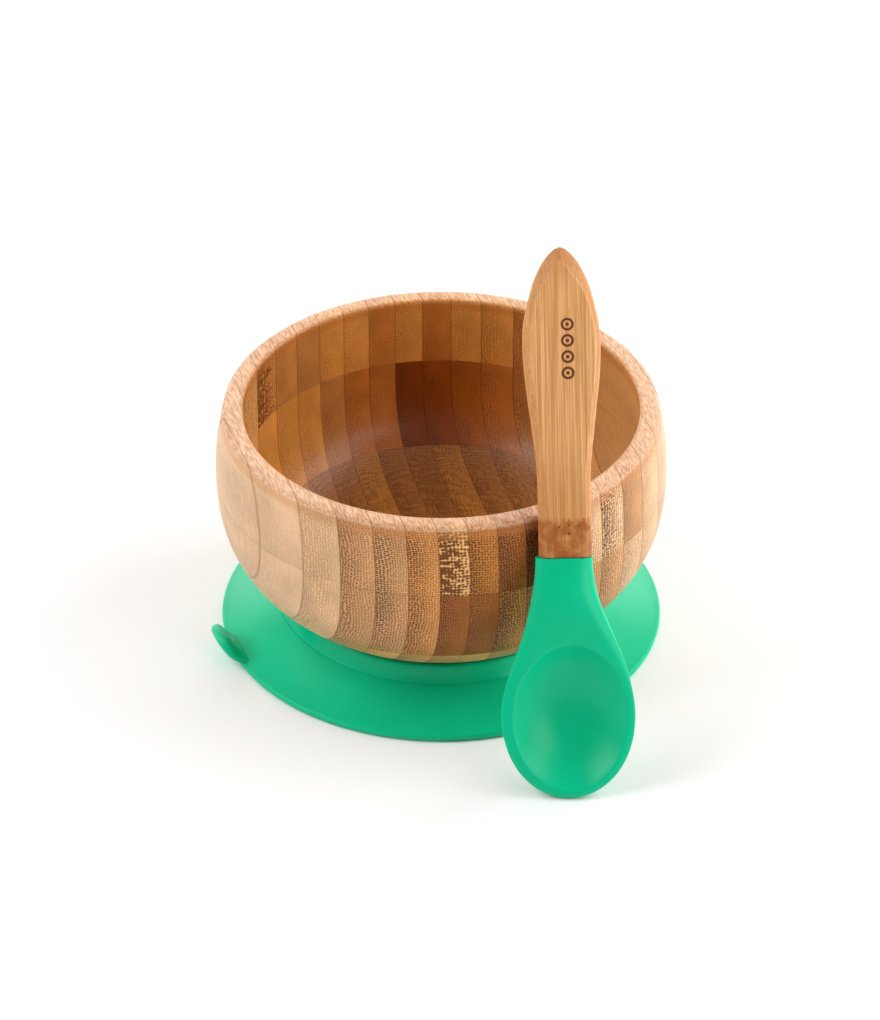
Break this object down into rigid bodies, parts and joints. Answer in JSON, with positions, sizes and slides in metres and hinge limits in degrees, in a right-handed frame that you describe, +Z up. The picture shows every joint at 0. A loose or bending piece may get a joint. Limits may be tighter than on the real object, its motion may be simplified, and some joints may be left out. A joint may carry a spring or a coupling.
{
  "type": "suction bowl",
  "caption": "Round bamboo toddler bowl of glued strips on a green silicone suction base with a pull tab, with a bamboo and silicone spoon leaning on its rim.",
  "frame": {"origin": "on the table, under the middle of the whole set's footprint: bowl, suction base, pull tab and spoon; the bowl's own axis is at x 0.97 mm, y 12.59 mm", "axes": "+Z up from the table, -Y towards the spoon and the viewer, +X to the viewer's right"},
  "size_m": [0.1289, 0.1522, 0.1399],
  "materials": {
    "bamboo_rim": "satin, food-safe oil",
    "bamboo_wall": "satin, food-safe oil",
    "bamboo_base": "satin, food-safe oil",
    "bamboo_handle": "satin, lightly sanded",
    "silicone_base": "matte silicone",
    "silicone_spoon": "matte silicone"
  },
  "bodies": {
    "base": {"suction_skirt": "silicone_base"},
    "hub": {"suction_hub": "silicone_base"},
    "bowl": {"rim_l1_back": "bamboo_rim", "rim_l1_front": "bamboo_rim", "rim_l2_back": "bamboo_rim", "rim_l2_front": "bamboo_rim", "rim_l3_back": "bamboo_rim", "rim_l3_front": "bamboo_rim", "rim_l4_back": "bamboo_rim", "rim_l4_front": "bamboo_rim", "rim_l5_back": "bamboo_rim", "rim_l5_front": "bamboo_rim", "rim_l6_back": "bamboo_rim", "rim_l6_front": "bamboo_rim", "rim_l7_side": "bamboo_rim", "rim_r0_back": "bamboo_rim", "rim_r0_front": "bamboo_rim", "rim_r1_back": "bamboo_rim", "rim_r1_front": "bamboo_rim", "rim_r2_back": "bamboo_rim", "rim_r2_front": "bamboo_rim", "rim_r3_back": "bamboo_rim", "rim_r3_front": "bamboo_rim", "rim_r4_back": "bamboo_rim", "rim_r4_front": "bamboo_rim", "rim_r5_back": "bamboo_rim", "rim_r5_front": "bamboo_rim", "rim_r6_back": "bamboo_rim", "rim_r6_front": "bamboo_rim", "rim_r7_side": "bamboo_rim", "wall_l1_back": "bamboo_wall", "wall_l1_front": "bamboo_wall", "wall_l2_back": "bamboo_wall", "wall_l2_front": "bamboo_wall", "wall_l3_back": "bamboo_wall", "wall_l3_front": "bamboo_wall", "wall_l4_back": "bamboo_wall", "wall_l4_front": "bamboo_wall", "wall_l5_back": "bamboo_wall", "wall_l5_front": "bamboo_wall", "wall_l6_side": "bamboo_wall", "wall_l7_side": "bamboo_wall", "wall_r0_back": "bamboo_wall", "wall_r0_front": "bamboo_wall", "wall_r1_back": "bamboo_wall", "wall_r1_front": "bamboo_wall", "wall_r2_back": "bamboo_wall", "wall_r2_front": "bamboo_wall", "wall_r3_back": "bamboo_wall", "wall_r3_front": "bamboo_wall", "wall_r4_back": "bamboo_wall", "wall_r4_front": "bamboo_wall", "wall_r5_back": "bamboo_wall", "wall_r5_front": "bamboo_wall", "wall_r6_side": "bamboo_wall", "wall_r7_side": "bamboo_wall", "base_board": "bamboo_base"},
    "tab": {"pull_tab": "silicone_base"},
    "spoon": {"spoon_head": "silicone_spoon", "spoon_handle": "bamboo_handle"}
  },
  "joints": [
    {"name": "suction_press", "type": "slide", "parent": "base", "child": "hub", "axis": [0, 0, 1], "range_m": [-0.003, 0], "stiffness_N_per_m": 5000, "springref_m": 0.002, "deforming": ["suction_skirt"]},
    {"name": "bowl_lift", "type": "slide", "parent": "hub", "child": "bowl", "axis": [0, 0.5, 0.866], "range_m": [0, 0.04]},
    {"name": "tab_flex", "type": "hinge", "parent": "base", "child": "tab", "pos_m": [-0.05729, -0.00861, 0.0013], "axis": [-0.342, 0.9397, 0], "range_deg": [-25, 60], "stiffness_Nm_per_rad": 0.02},
    {"name": "spoon_lift", "type": "slide", "parent": "base", "child": "spoon", "axis": [0, -0.342, 0.9397], "range_m": [0, 0.08]}
  ]
}
